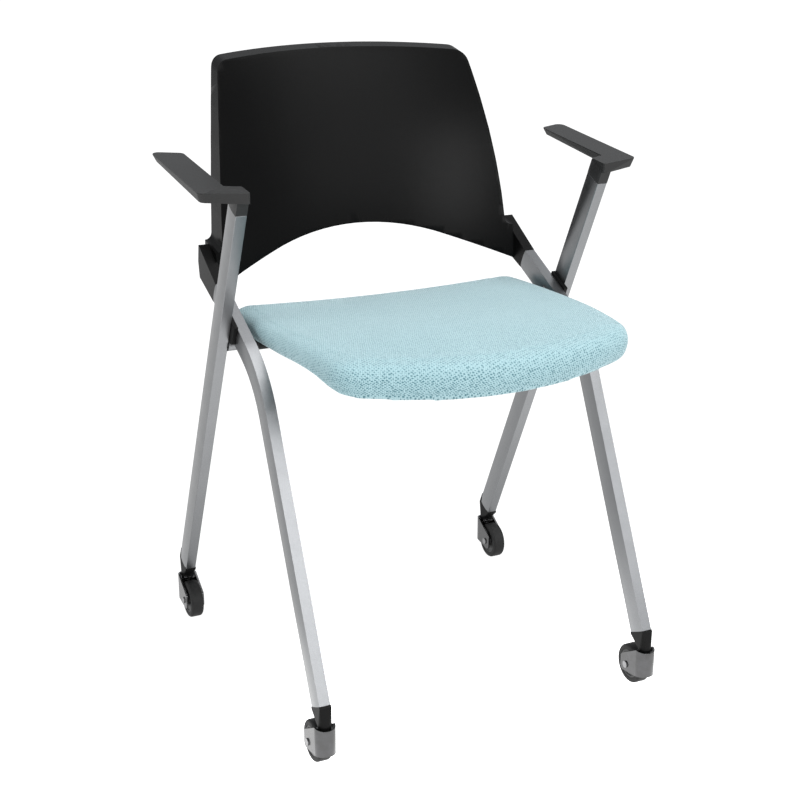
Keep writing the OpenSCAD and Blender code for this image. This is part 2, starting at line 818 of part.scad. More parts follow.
// The rings of the cushion, from its recess over the lower edge to the crown:
// plan inset, height above the hinge axis, share of the apron, share of the hollow
edge_top = cushion_low + cushion_edge;
cushion_rings = [
    [cushion_tuck, cushion_low, 1, 0],
    [cushion_tuck * 0.55, cushion_low + cushion_edge * 0.08, 0.9, 0],
    [cushion_tuck * 0.3, cushion_low + cushion_edge * 0.2, 0.8, 0],
    [0, cushion_low + cushion_edge * 0.45, 0.5, 0.3],
    [cushion_tuck * 0.1, cushion_low + cushion_edge * 0.66, 0.2, 0.7],
    [cushion_tuck * 0.5, cushion_low + cushion_edge * 0.86, 0, 1],
    [cushion_tuck * 1.3, cushion_low + cushion_edge * 0.98, 0, 1],
    [cushion_tuck * 2.6, edge_top + cushion_crown * 0.22, 0, 1]];
crown_shares = [0.86, 0.68, 0.46, 0.22];

// The crown's inner rings shrink the last ring towards the seat's middle
seat_mid = [0, (seat_rear - seat_front) / 2];

function ring_points(ring) =
    [for (p = seat_outline(ring[0]))
        [p.x, p.y - hinge_y, ring[1] - fall(p.y) - ring[2] * apron(p.y) - ring[3] * dish(p)]];

function crown_points(share) =
    [for (p = seat_outline(cushion_tuck * 2.6))
        let (q = seat_mid + share * (p - seat_mid))
        [q.x, q.y - hinge_y, edge_top + cushion_crown * (1 - 0.78 * share * share) - fall(q.y) - dish(q)]];

module seat_cushion() {
    recess = pan_outline(pan_inset - pan_gap);
    rings = concat(
        [[for (p = recess) [p.x, p.y - hinge_y, pan_top + pan_gap]]],
        [[for (p = recess) [p.x, p.y - hinge_y, cushion_low - fall(p.y) - apron(p.y)]]],
        [for (ring = cushion_rings) ring_points(ring)],
        [for (share = crown_shares) crown_points(share)]);
    n = len(recess);
    m = len(rings);
    points = concat(
        [for (ring = rings) each ring],
        [[0, seat_mid.y - hinge_y, pan_top + pan_gap]],
        [[0, seat_mid.y - hinge_y, edge_top + cushion_crown - fall(seat_mid.y)]]);
    faces = concat(
        [for (k = [0 : m - 2], i = [0 : n - 1])
            let (a = k * n + i, b = k * n + (i + 1) % n) each [[a, a + n, b + n], [a, b + n, b]]],
        [for (i = [0 : n - 1]) [m * n, i, (i + 1) % n]],
        [for (i = [0 : n - 1]) [m * n + 1, (m - 1) * n + (i + 1) % n, (m - 1) * n + i]]);
    color([0.69, 0.84, 0.87])
    seat_frame()
    difference() {
        polyhedron(points, faces);
        rotate([0, 90, 0]) cylinder(r = cross_r + skirt_gap, h = 4 * seat_half_w, center = true);
        for (side = [left, right])
            mirror([side == left ? 0 : 1, 0, 0])
                translate([knuckle_x0 - pan_inset, 0, 0]) rotate([0, 90, 0])
                    cylinder(r = hinge_clear + pan_gap, h = knuckle_len + bush_wall + pan_inset + pan_gap);
    }
}

module pan_bosses(r) {
    for (side = [left, right], x = [flange_x0 + flange_screw_in, flange_x1 - flange_screw_in], y = [-1, 1])
        translate([side * x, y * flange_screw_y, 0]) cylinder(r = r, h = pan_top - skin_t / 2);
}

// Moulded pan that carries the cushion, with ribs and screw bosses on its underside
module seat_pan() {
    color([0.09, 0.09, 0.09])
    seat_frame()
    difference() {
        union() {
            translate([0, -hinge_y, 0]) difference() {
                translate([0, 0, pan_low]) linear_extrude(pan_depth) polygon(pan_outline(pan_inset));
                translate([0, 0, pan_low - over]) linear_extrude(pan_depth + over - skin_t)
                    polygon(pan_outline(pan_inset + pan_wall));
            }
            translate([0, -hinge_y, 0]) intersection() {
                translate([0, 0, pan_low + pan_wall]) linear_extrude(pan_depth - pan_wall - skin_t / 2)
                    polygon(pan_outline(pan_inset + pan_wall / 2));
                union() {
                    for (share = pan_rib_x_shares)
                        translate([share * seat_half_w - pan_rib_t / 2, -seat_front, pan_low])
                            cube([pan_rib_t, 2 * seat_front, pan_depth]);
                    for (share = pan_rib_y_shares)
                        translate([-seat_half_w, share * (share < 0 ? seat_front : seat_rear) + hinge_y - pan_rib_t / 2, pan_low])
                            cube([2 * seat_half_w, pan_rib_t, pan_depth]);
                }
            }
            intersection() {
                pan_bosses(boss_r);
                translate([0, 0, flange_low + flange_t]) linear_extrude(pan_depth) square(4 * seat_half_w, center = true);
            }
        }
        rotate([0, 90, 0]) cylinder(r = channel_r, h = 2 * seat_half_w, center = true);
        translate([-seat_half_w, -channel_r, -pan_depth]) cube([2 * seat_half_w, 2 * channel_r, pan_depth]);
        for (side = [left, right])
            mirror([side == left ? 0 : 1, 0, 0]) {
                translate([knuckle_x0 - bush_wall - face_gap, 0, 0]) rotate([0, 90, 0])
                    cylinder(r = hinge_clear, h = knuckle_len + 2 * bush_wall);
                translate([knuckle_x0 - bush_wall - face_gap, -hinge_clear, -pan_depth])
                    cube([knuckle_len + 2 * bush_wall, 2 * hinge_clear, pan_depth]);
            }
        pan_bosses(screw_r);
    }
}

// Bracket under each side of the pan: a knuckle round the cross tube and a screwed flange
module hinge_bracket(side) {
    color([0.09, 0.09, 0.09])
    mirror([side == left ? 0 : 1, 0, 0])
    seat_frame()
    difference() {
        union() {
            translate([knuckle_x0, 0, 0]) rotate([0, 90, 0]) cylinder(r = knuckle_r, h = knuckle_len);
            translate([flange_x0, -flange_reach, flange_low]) cube([flange_x1 - flange_x0, 2 * flange_reach, flange_t]);
        }
        translate([flange_x0, 0, 0]) rotate([0, 90, 0]) cylinder(r = bush_r, h = 2 * knuckle_len);
        translate([flange_x0 - over, 0, 0]) rotate([0, 90, 0])
            cylinder(r = hinge_clear, h = knuckle_x0 - flange_x0 + over);
        for (x = [flange_x0 + flange_screw_in, flange_x1 - flange_screw_in], y = [-1, 1])
            translate([x, y * flange_screw_y, flange_low - over]) cylinder(r = screw_r, h = flange_t + 2 * over);
        translate([stop_x, 0, 0]) rotate([seat_tilt, 0, 0]) stop_slot();
    }
}

// Slot round the knuckle in which the stop pin travels
module stop_slot() {
    spare = asin(stop_dia / 2 / bush_r);
    rotate([90, 0, 90])
        rotate([0, 0, stop_angle - spare])
        rotate_extrude(angle = seat_travel + 2 * spare)
        translate([cross_r / 2, -stop_slot_r]) square([knuckle_r, 2 * stop_slot_r]);
}

// Two flanged plastic bushes in each knuckle, one from each end
module hinge_bushes(side) {
    color([0.75, 0.75, 0.72])
    mirror([side == left ? 0 : 1, 0, 0])
    difference() {
        union() {
            hinge_rod(bush_r, knuckle_x0, knuckle_x0 + bush_len);
            hinge_rod(knuckle_r, knuckle_x0 - bush_wall, knuckle_x0);
            hinge_rod(bush_r, knuckle_x1 - bush_len, knuckle_x1);
            hinge_rod(knuckle_r, knuckle_x1, knuckle_x1 + bush_wall);
        }
        hinge_rod(cross_r + run_fit, knuckle_x0 - 2 * bush_wall, knuckle_x1 + 2 * bush_wall);
    }
}

module bracket_screws() {
    color([0.6, 0.6, 0.62])
    seat_frame()
    for (side = [left, right], x = [flange_x0 + flange_screw_in, flange_x1 - flange_screw_in], y = [-1, 1])
        translate([side * x, y * flange_screw_y, flange_low])
            rotate([180, 0, 0]) screw(screw_r, screw_head_r, pan_top - skin_t / 2 - flange_low);
}

// Puts a caster built at the origin, wheel towards +Y, under a leg
module caster_place(end, side) {
    if (end == "front") translate([side * front_x, -front_stem, 0]) children();
    else translate([side * rear_x, rear_stem, 0]) rotate([0, 0, 180]) children();
}

module across_axle(r, half) {
    translate([0, trail, wheel_r]) rotate([0, 90, 0]) cylinder(r = r, h = 2 * half, center = true);
}

// Folded steel band: closed round the stem, its arms sloping down to the axle
module caster_fork(end, side) {
    color([0.7, 0.7, 0.72])
    caster_place(end, side)
    difference() {
        union() {
            intersection() {
                linear_extrude(2 * fork_top) difference() {
                    union() {
                        circle(r = fork_half);
                        translate([-fork_half, 0]) square([fork_w, fork_arm]);
                    }
                    circle(r = fork_in);
                    translate([-fork_in, 0]) square([2 * fork_in, fork_arm + over]);
                }
                across(-fork_w, fork_w) polygon(rounded([
                    [-fork_w, fork_nose_low - (fork_w - fork_half) * 0.37],
                    [fork_arm, fork_tail_low],
                    [fork_arm, fork_tail_top],
                    [0, fork_top],
                    [-fork_w, fork_nose_top]],
                    [0, fork_tail_r, fork_tail_r, 0, 0]));
            }
            translate([0, 0, plate_z]) linear_extrude(plate_t) intersection() {
                circle(r = fork_in + fork_wall / 2);
                translate([-fork_half, -fork_half]) square([fork_w, fork_half + plate_tail]);
            }
        }
        cylinder(r = stem_dia / 2, h = 2 * fork_top);
        across_axle(axle_dia / 2, fork_w);
    }
}

module caster_stem(end, side) {
    color([0.6, 0.6, 0.62])
    caster_place(end, side) {
        translate([0, 0, plate_z - stem_head_t]) cylinder(r = stem_head_r, h = stem_head_t);
        translate([0, 0, plate_z - stem_head_t]) cylinder(r = stem_dia / 2, h = stem_top - plate_z + stem_head_t);
        translate([0, 0, plate_z + plate_t]) cylinder(r = stem_collar_r, h = socket_low - face_gap - plate_z - plate_t);
    }
}

module axle(end, side) {
    color([0.6, 0.6, 0.62])
    caster_place(end, side) {
        across_axle(axle_dia / 2, fork_half + rivet_t / 2);
        for (flank = [-1, 1])
            translate([flank * (fork_half + rivet_t / 2), trail, wheel_r])
                rotate([0, 90, 0]) cylinder(r = rivet_r, h = rivet_t, center = true);
    }
}

module wheel_hub(end, side) {
    hub_r = wheel_r - tyre_t;
    color([0.2, 0.2, 0.2])
    caster_place(end, side)
    translate([0, trail, wheel_r])
    rotate([0, 90, 0])
    difference() {
        union() {
            cylinder(r = hub_r, h = tyre_w - 2 * hub_side, center = true);
            cylinder(r = hub_r / 3, h = 2 * (fork_in - face_gap), center = true);
        }
        cylinder(r = axle_dia / 2 + run_fit, h = 2 * fork_w, center = true);
        for (flank = [-1, 1])
            translate([0, 0, flank * tyre_w / 2]) difference() {
                cylinder(r = hub_r * 0.86, h = tyre_t / 2, center = true);
                cylinder(r = hub_r * 0.45, h = tyre_t, center = true);
            }
    }
}

module tyre(end, side) {
    color([0.11, 0.11, 0.11])
    caster_place(end, side)
    translate([0, trail, wheel_r])
    rotate([0, 90, 0])
    rotate_extrude($fn = 96) {
        translate([wheel_r - tyre_t, -tyre_w / 2]) square([tyre_t - tyre_round, tyre_w]);
        translate([wheel_r - tyre_t, tyre_round - tyre_w / 2]) square([tyre_t, tyre_w - 2 * tyre_round]);
        for (flank = [-1, 1])
            translate([wheel_r - tyre_round, flank * (tyre_w / 2 - tyre_round)]) circle(r = tyre_round);
    }
}

front_leg(left);  // front_leg_left
front_leg(right);  // front_leg_right
rear_leg(left);  // rear_leg_left
rear_leg(right);  // rear_leg_right
leg_spacer(left);  // leg_spacer_left
leg_spacer(right);  // leg_spacer_right
spacer_screws();
cross_tube();
stop_pins();
foot_socket_front(left);  // foot_socket_front_left
foot_socket_front(right);  // foot_socket_front_right
foot_socket_rear(left);  // foot_socket_rear_left
foot_socket_rear(right);  // foot_socket_rear_right
backrest_shell();
back_screws();
arm_pad(left);  // arm_pad_left
arm_pad(right);  // arm_pad_right
arm_screws();
seat_pan();
seat_cushion();
hinge_bracket(left);  // hinge_bracket_left
hinge_bracket(right);  // hinge_bracket_right
hinge_bushes(left);  // hinge_bushes_left
hinge_bushes(right);  // hinge_bushes_right
bracket_screws();
caster_stem("front", left);  // caster_stem_front_left
caster_stem("front", right);  // caster_stem_front_right
caster_stem("rear", left);  // caster_stem_rear_left
caster_stem("rear", right);  // caster_stem_rear_right
caster_fork("front", left);  // caster_fork_front_left
caster_fork("front", right);  // caster_fork_front_right
caster_fork("rear", left);  // caster_fork_rear_left
caster_fork("rear", right);  // caster_fork_rear_right
axle("front", left);  // axle_front_left
axle("front", right);  // axle_front_right
axle("rear", left);  // axle_rear_left
axle("rear", right);  // axle_rear_right
wheel_hub("front", left);  // wheel_hub_front_left
wheel_hub("front", right);  // wheel_hub_front_right
wheel_hub("rear", left);  // wheel_hub_rear_left
wheel_hub("rear", right);  // wheel_hub_rear_right
tyre("front", left);  // tyre_front_left
tyre("front", right);  // tyre_front_right
tyre("rear", left);  // tyre_rear_left
tyre("rear", right);  // tyre_rear_right
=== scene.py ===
import json
import math

import bmesh
import bpy
import numpy as np
from mathutils import Euler, Matrix, Vector


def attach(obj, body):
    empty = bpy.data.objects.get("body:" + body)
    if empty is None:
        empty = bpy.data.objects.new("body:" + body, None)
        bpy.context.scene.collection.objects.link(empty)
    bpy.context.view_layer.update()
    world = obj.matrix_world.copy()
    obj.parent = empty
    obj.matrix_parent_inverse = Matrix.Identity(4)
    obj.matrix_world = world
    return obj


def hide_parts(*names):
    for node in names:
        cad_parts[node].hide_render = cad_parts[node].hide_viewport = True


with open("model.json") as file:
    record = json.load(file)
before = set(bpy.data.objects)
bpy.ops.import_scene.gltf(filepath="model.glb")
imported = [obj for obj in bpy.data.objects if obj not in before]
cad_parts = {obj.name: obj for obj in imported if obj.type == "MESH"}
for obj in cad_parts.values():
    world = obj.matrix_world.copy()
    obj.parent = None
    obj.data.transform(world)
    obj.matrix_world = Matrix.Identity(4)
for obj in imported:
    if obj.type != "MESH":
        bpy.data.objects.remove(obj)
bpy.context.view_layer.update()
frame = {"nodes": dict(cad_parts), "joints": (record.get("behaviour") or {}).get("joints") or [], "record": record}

NODES = frame["nodes"]
MM = 0.001


# Node helpers

# Most of a noise texture's values lie between these two
NOISE_LOW, NOISE_HIGH = 0.3, 0.7


class Mat:
    """A material with short calls for its nodes."""

    def __init__(self, name, **values):
        self.mat = bpy.data.materials.new(name)
        self.mat.use_nodes = True
        self.tree = self.mat.node_tree
        self.shader = self.tree.nodes["Principled BSDF"]
        for key, value in values.items():
            self.shader.inputs[key.replace("_", " ")].default_value = value

    def give(self, value, socket):
        """Set a socket to a value, or link it to another socket."""
        if isinstance(value, bpy.types.NodeSocket):
            self.tree.links.new(value, socket)
        else:
            socket.default_value = value

    def link(self, source, socket):
        self.tree.links.new(source, self.shader.inputs[socket])

    def node(self, kind, **inputs):
        n = self.tree.nodes.new(kind)
        for key, value in inputs.items():
            self.give(value, n.inputs[key.replace("_", " ")])
        return n

    def math(self, op, *values):
        n = self.tree.nodes.new("ShaderNodeMath")
        n.operation = op
        for value, socket in zip(values, n.inputs):
            self.give(value, socket)
        return n.outputs[0]

    def span(self, value, low, high, to_low=0.0, to_high=1.0, smooth=False):
        """Carry the range low to high over to another range, and stop at its ends."""
        n = self.node("ShaderNodeMapRange", Value=value, From_Min=low, From_Max=high,
                      To_Min=to_low, To_Max=to_high)
        if smooth:
            n.interpolation_type = "SMOOTHSTEP"
        return n.outputs["Result"]

    def spread(self, noise, to_low=0.0, to_high=1.0):
        """Carry a noise's usual values over to a range."""
        return self.span(noise, NOISE_LOW, NOISE_HIGH, to_low, to_high)

    def mix(self, share, a, b):
        n = self.tree.nodes.new("ShaderNodeMix")
        n.data_type = "RGBA"
        factor, first, second = n.inputs[0], n.inputs[6], n.inputs[7]
        self.give(share, factor)
        self.give(a, first)
        self.give(b, second)
        return n.outputs[2]

    def place(self):
        return self.node("ShaderNodeTexCoord").outputs["Object"]

    def noise(self, place, per_metre, detail=2.0, rough=0.5):
        n = self.node("ShaderNodeTexNoise", Vector=place, Scale=per_metre, Detail=detail, Roughness=rough)
        return n.outputs["Fac"]

    def bump(self, height, strength, distance):
        n = self.node("ShaderNodeBump", Height=height, Strength=strength, Distance=distance)
        return n.outputs["Normal"]


def grey(value):
    return (value, value, value, 1)


# Materials. Grains, clouds and the like are counts per metre.

def tube_paint():
    """Grey metallic paint with fine silver flakes."""
    dark, light = (0.153, 0.157, 0.162, 1), (0.177, 0.182, 0.187, 1)
    silver = (0.230, 0.234, 0.240, 1)
    clouds, smears, dimples, flakes = 14.0, 60.0, 900.0, 2600.0
    flake_edge, flake_core = 0.35, 0.72
    satin, dull = 0.30, 0.35
    relief, depth = 0.1, 0.2 * MM
    m = Mat("tube_paint", Metallic=1.0)
    p = m.place()
    coat = m.mix(m.spread(m.noise(p, clouds, detail=3.0)), dark, light)
    flake = m.span(m.noise(p, flakes, detail=1.0), flake_edge, flake_core)
    m.link(m.mix(flake, coat, silver), "Base Color")
    m.link(m.spread(m.noise(p, smears, detail=3.0), satin, dull), "Roughness")
    m.link(m.bump(m.noise(p, dimples), relief, depth), "Normal")
    return m.mat


def moulded(name, dark, light, rough, grain, relief, shine=0.5):
    """Moulded plastic with a fine eroded grain and faint clouds."""
    clouds, grain_rough = 9.0, 0.6
    grain_low, grain_high = 0.25, 0.75
    smoother, rougher = 0.05, 0.06
    depth = 0.2 * MM
    m = Mat(name, Specular_IOR_Level=shine)
    p = m.place()
    m.link(m.mix(m.spread(m.noise(p, clouds, detail=3.0)), grey(dark), grey(light)), "Base Color")
    fine = m.noise(p, grain, rough=grain_rough)
    m.link(m.span(fine, grain_low, grain_high, rough - smoother, rough + rougher), "Roughness")
    m.link(m.bump(fine, relief, depth), "Normal")
    return m.mat


def steel(name, base, rough):
    """Plated steel with a slightly blue tone and fine scratches."""
    clouds, smears, scratches = 120.0, 700.0, 1500.0
    shade, blue = 0.86, 1.03
    smoother, rougher = 0.05, 0.07
    relief, depth = 0.08, 0.1 * MM
    m = Mat(name, Metallic=1.0)
    p = m.place()
    dark, light = grey(base * shade), (base, base, base * blue, 1)
    m.link(m.mix(m.spread(m.noise(p, clouds, detail=4.0)), dark, light), "Base Color")
    m.link(m.spread(m.noise(p, smears), rough - smoother, rough + rougher), "Roughness")
    m.link(m.bump(m.noise(p, scratches), relief, depth), "Normal")
    return m.mat


def rubber():
    """Black tyre rubber with dust in patches."""
    clean, dusty = grey(0.006), grey(0.013)
    patches, pores = 45.0, 1100.0
    dust_edge, dust_core = 0.45, 0.75
    satin, dull = 0.55, 0.7
    relief, depth = 0.15, 0.2 * MM
    m = Mat("tyre_rubber", Specular_IOR_Level=0.25)
    p = m.place()
    dust = m.noise(p, patches, detail=4.0)
    m.link(m.mix(m.span(dust, dust_edge, dust_core), clean, dusty), "Base Color")
    m.link(m.spread(dust, satin, dull), "Roughness")
    m.link(m.bump(m.noise(p, pores), relief, depth), "Normal")
    return m.mat


# The knit: eyelets of two staggered sets, each a pitch apart, turned on the seat
PITCH_U, PITCH_V = 4.9 * MM, 4.3 * MM
WEAVE_TURN = math.radians(21)
RIBS_PER_PITCH = 2
STAGGER = 0.5


def drifted(m, place, length, pitch, waves, drift=0.15):
    """Count of pitches along the cloth, which wanders a little as hand-laid cloth does."""
    return m.math("ADD", m.math("DIVIDE", length, pitch), m.spread(m.noise(place, waves), -drift, drift))


def eyelets(m, u, v, shift):
    """Reach of the nearest eyelet of one set, each with its own size and place; small is inside."""
    half_u, half_v = 0.23, 0.17
    place_u, place_v = (0.36, 0.64), (0.38, 0.62)
    larger, smaller = -0.15, 0.55
    u, v = m.math("ADD", u, shift), m.math("ADD", v, shift)
    cell = m.node("ShaderNodeCombineXYZ", X=m.math("FLOOR", u), Y=m.math("FLOOR", v), Z=shift)
    luck = m.node("ShaderNodeTexWhiteNoise", Vector=cell.outputs[0])
    own = m.node("ShaderNodeSeparateColor", Color=luck.outputs["Color"])
    beside = m.math("SUBTRACT", m.math("FRACT", u), m.span(own.outputs[0], 0, 1, *place_u))
    along = m.math("SUBTRACT", m.math("FRACT", v), m.span(own.outputs[1], 0, 1, *place_v))
    wide = m.math("POWER", m.math("DIVIDE", beside, half_u), 2.0)
    tall = m.math("POWER", m.math("DIVIDE", along, half_v), 2.0)
    reach = m.math("SQRT", m.math("ADD", wide, tall))
    return m.math("ADD", reach, m.span(own.outputs[2], 0, 1, larger, smaller))


def knit():
    """Knitted mesh: staggered eyelets between ribs of yarn, more open where the cloth is stretched."""
    yarn_dark, yarn_light = (0.204, 0.326, 0.356, 1), (0.287, 0.413, 0.440, 1)
    yarn_taut, taut_share = (0.13, 0.24, 0.27, 1), 0.12
    through, through_slack, through_taut = (0.05, 0.135, 0.16, 1), 0.45, 0.95
    waves_u, waves_v, fuzz_grain, clouds = 40.0, 34.0, 1500.0, 9.0
    hole_core, hole_edge, hole_growth = 0.55, 1.3, 0.3
    fuzz_tone, cloud_tone, rib_tone, step_tone, tone_reach = 0.2, 0.1, 0.3, 0.12, 0.5
    rib_height, fuzz_height, relief, depth = 0.3, 0.15, 0.5, 0.7 * MM
    m = Mat("seat_fabric", Roughness=0.85, Sheen_Weight=0.2, Sheen_Roughness=0.5, Specular_IOR_Level=0.3)
    cloth = m.tree.nodes.new("ShaderNodeAttribute")
    cloth.attribute_name = "weave"
    cut = m.node("ShaderNodeSeparateXYZ", Vector=cloth.outputs["Vector"])
    x, y, stretch = cut.outputs
    p = m.place()
    cos, sin = math.cos(WEAVE_TURN), math.sin(WEAVE_TURN)
    across = m.math("SUBTRACT", m.math("MULTIPLY", x, cos), m.math("MULTIPLY", y, sin))
    along = m.math("ADD", m.math("MULTIPLY", x, sin), m.math("MULTIPLY", y, cos))
    u = drifted(m, p, across, PITCH_U, waves_u)
    v = drifted(m, p, along, PITCH_V, waves_v)

    near = m.math("MINIMUM", eyelets(m, u, v, 0.0), eyelets(m, u, v, STAGGER))
    near = m.math("SUBTRACT", near, m.math("MULTIPLY", stretch, hole_growth))
    hole = m.span(near, hole_core, hole_edge, 1.0, 0.0, smooth=True)
    rib = m.math("SINE", m.math("MULTIPLY", u, 2 * math.pi * RIBS_PER_PITCH))
    step = m.math("SINE", m.math("MULTIPLY", v, 2 * math.pi * RIBS_PER_PITCH))
    fuzz = m.noise(p, fuzz_grain)

    shade = m.spread(m.noise(p, clouds), -cloud_tone, cloud_tone)
    tone = m.math("ADD", m.spread(fuzz, -fuzz_tone, fuzz_tone), m.math("MULTIPLY", rib, rib_tone))
    tone = m.math("ADD", m.math("MULTIPLY_ADD", step, step_tone, tone), shade)
    yarn = m.mix(m.span(tone, -tone_reach, tone_reach), yarn_dark, yarn_light)
    yarn = m.mix(m.math("MULTIPLY", stretch, taut_share), yarn, yarn_taut)
    open_share = m.math("MULTIPLY", hole, m.span(stretch, 0.0, 1.0, through_slack, through_taut))
    m.link(m.mix(open_share, yarn, through), "Base Color")
    height = m.math("MULTIPLY_ADD", hole, -1.0, m.math("MULTIPLY", rib, rib_height))
    height = m.math("MULTIPLY_ADD", fuzz, fuzz_height, height)
    m.link(m.bump(height, relief, depth), "Normal")
    return m.mat


# dark, light: greys of the plastic's clouds; rough: roughness; relief: strength of the grain
MATERIALS = {
    "tube_paint": tube_paint(),
    "black_plastic": moulded("black_plastic", dark=0.003, light=0.0042, rough=0.48,
                             grain=1300.0, relief=0.18, shine=0.09),
    "back_plastic": moulded("back_plastic", dark=0.002, light=0.0026, rough=0.29,
                            grain=1500.0, relief=0.12, shine=0.05),
    "pad_plastic": moulded("pad_plastic", dark=0.009, light=0.012, rough=0.5,
                           grain=1100.0, relief=0.22, shine=0.3),
    "seat_fabric": knit(),
    "screw_steel": steel("screw_steel", base=0.25, rough=0.3),
    "fork_steel": steel("fork_steel", base=0.095, rough=0.2),
    "bush_plastic": moulded("bush_plastic", dark=0.006, light=0.008, rough=0.42,
                            grain=900.0, relief=0.08, shine=0.2),
    "hub_plastic": moulded("hub_plastic", dark=0.014, light=0.020, rough=0.5,
                           grain=1200.0, relief=0.15),
    "tyre_rubber": rubber(),
}

for row in frame["record"]["subparts"]:
    node = NODES[row["node"]]
    if not node.material_slots:
        node.data.materials.append(None)
    for slot in node.material_slots:
        slot.link = "OBJECT"
        slot.material = MATERIALS[row["material_slot"]]


# Edge rounding

# Bevel widths by the start of the node's name
EDGE = {"front_leg": 0.7 * MM, "rear_leg": 0.7 * MM, "backrest_shell": 1.4 * MM, "arm_pad": 1.1 * MM,
        "leg_spacer": 0.5 * MM, "foot_socket": 0.5 * MM, "caster_fork": 0.4 * MM,
        "wheel_hub": 0.4 * MM, "hinge_bracket": 0.4 * MM}
EDGE_STEPS = 3
EDGE_ANGLE = math.radians(38)
WELD = 0.01 * MM
# Wider than the overlap between a leg's straights and its bend
LEG_WELD = 0.25 * MM


def round_edges(node, width):
    """Small bevels; on the legs with even normals, so that no seam shows where the bend starts."""
    leg = "_leg_" in node.name
    weld = node.modifiers.new("weld", "WELD")
    weld.merge_threshold = LEG_WELD if leg else WELD
    bevel = node.modifiers.new("edge", "BEVEL")
    bevel.width = width
    bevel.segments = EDGE_STEPS
    bevel.limit_method = "ANGLE"
    bevel.angle_limit = EDGE_ANGLE
    bevel.harden_normals = not leg
    bevel.use_clamp_overlap = True
    bevel.miter_outer = "MITER_ARC"
    if leg:
        even = node.modifiers.new("even", "WEIGHTED_NORMAL")
        even.keep_sharp = False


for name, node in NODES.items():
    for start, width in EDGE.items():
        if name.startswith(start):
            round_edges(node, width)


# Mesh helpers

# Decimal places to which outline points are told apart, and the turn that counts as straight
OUTLINE_PLACES, STRAIGHT = 6, 1e-12


def points_of(me):
    co = np.empty(len(me.vertices) * 3)
    me.vertices.foreach_get("co", co)
    return co.reshape(-1, 3)


def set_points(me, co):
    me.vertices.foreach_set("co", np.ascontiguousarray(co).ravel())
    me.update()


def normals_of(me):
    no = np.empty(len(me.vertices) * 3)
    me.vertex_normals.foreach_get("vector", no)
    return no.reshape(-1, 3)


def new_object(name, me):
    o = bpy.data.objects.new(name, me)
    bpy.context.collection.objects.link(o)
    return o


def apply_all(o):
    """Replace an object's mesh by what its modifiers make of it."""
    bpy.context.view_layer.update()
    graph = bpy.context.evaluated_depsgraph_get()
    me = bpy.data.meshes.new_from_object(o.evaluated_get(graph))
    old = o.data
    o.modifiers.clear()
    o.data = me
    bpy.data.meshes.remove(old)


def plan_hull(points):
    """Corners of the convex outline of plan points, anticlockwise."""
    pts = sorted(set(map(tuple, np.round(points, OUTLINE_PLACES))))

    def chain(seq):
        out = []
        for q in seq:
            while len(out) > 1 and ((out[-1][0] - out[-2][0]) * (q[1] - out[-2][1])
                                    - (out[-1][1] - out[-2][1]) * (q[0] - out[-2][0])) <= STRAIGHT:
                out.pop()
            out.append(q)
        return out[:-1]

    return np.array(chain(pts) + chain(pts[::-1]))


def outline_side(points, hull):
    """Distance in from the nearest outline point, and the outward direction there."""
    nxt = np.roll(hull, -1, axis=0)
    seg = nxt - hull
    length = np.linalg.norm(seg, axis=1)
    flat = np.column_stack([seg[:, 1], -seg[:, 0]]) / length[:, None]
    corner = flat + np.roll(flat, 1, axis=0)
    corner /= np.linalg.norm(corner, axis=1)[:, None]
    best = np.full(len(points), np.inf)
    out = np.zeros((len(points), 2))
    for i in range(len(hull)):
        share = np.clip(((points - hull[i]) @ seg[i]) / length[i] ** 2, 0, 1)
        gap = np.linalg.norm(points - hull[i] - share[:, None] * seg[i], axis=1)
        near = gap < best
        best[near] = gap[near]
        w = share[near, None]
        out[near] = (1 - w) * corner[i] + w * corner[(i + 1) % len(hull)]
    return best, out / np.linalg.norm(out, axis=1)[:, None]


def solid_between(name, start, end):
    """Closed solid between two matching rings of points."""
    n = len(start)
    faces = [tuple(range(n))[::-1], tuple(range(n, 2 * n))]
    faces += [(i, (i + 1) % n, n + (i + 1) % n, n + i) for i in range(n)]
    me = bpy.data.meshes.new(name)
    me.from_pydata(start + end, [], faces)
    return new_object(name, me)


def prism(name, plan, low, high):
    """Closed prism over a plan outline."""
    return solid_between(name, [(x, y, low) for x, y in plan], [(x, y, high) for x, y in plan])


def round_bar(name, radius, half_length, steps=48):
    """Closed bar along X through the origin."""
    turn = [2 * math.pi * k / steps for k in range(steps)]
    ring = [(radius * math.cos(a), radius * math.sin(a)) for a in turn]
    left = [(-half_length, y, z) for y, z in ring]
    right = [(half_length, y, z) for y, z in ring]
    return solid_between(name, left, right)


# Seat upholstery. The cushion is worked on level, with its hinge at the origin,
# and is tilted and put in its place at the end.

HINGE = Vector(next(j["pos_m"] for j in frame["joints"] if j["name"] == "seat_flip"))
TILT = math.radians(2.6)
SEAT = Matrix.Translation(HINGE) @ Matrix.Rotation(-TILT, 4, "X")

# The pan's recess in the cushion's underside
PAN_ROOF = 14.8 * MM
ROOF_SLACK = 0.02 * MM
PAN_ROOM = 0.8 * MM
FILLER_LOW, FILLER_OVERLAP = -1.0 * MM, 1.5 * MM
BELOW = 60 * MM

# Room for the cross tube and the knuckles round it
BAR_ROOM_R = 13.7 * MM
BAR_HALF = 300 * MM

# The swelling of the pad
VOXEL = 4.0 * MM
EVEN_STEPS, LIP_STEPS = 2, 8
LIP_SLOPE, UNDER_SLOPE = -0.15, -0.5
HELD_IN = 6 * MM
SHRINK = 2.6 * MM
CAP_OUT, CAP_IN = 0.7 * MM, 0.2 * MM
SWELL_FRAMES = 20
CLOTH = {"quality": 5, "mass": 0.3, "tension_stiffness": 15, "compression_stiffness": 15,
         "shear_stiffness": 5, "bending_stiffness": 0.5, "use_pressure": True, "uniform_pressure_force": 4}

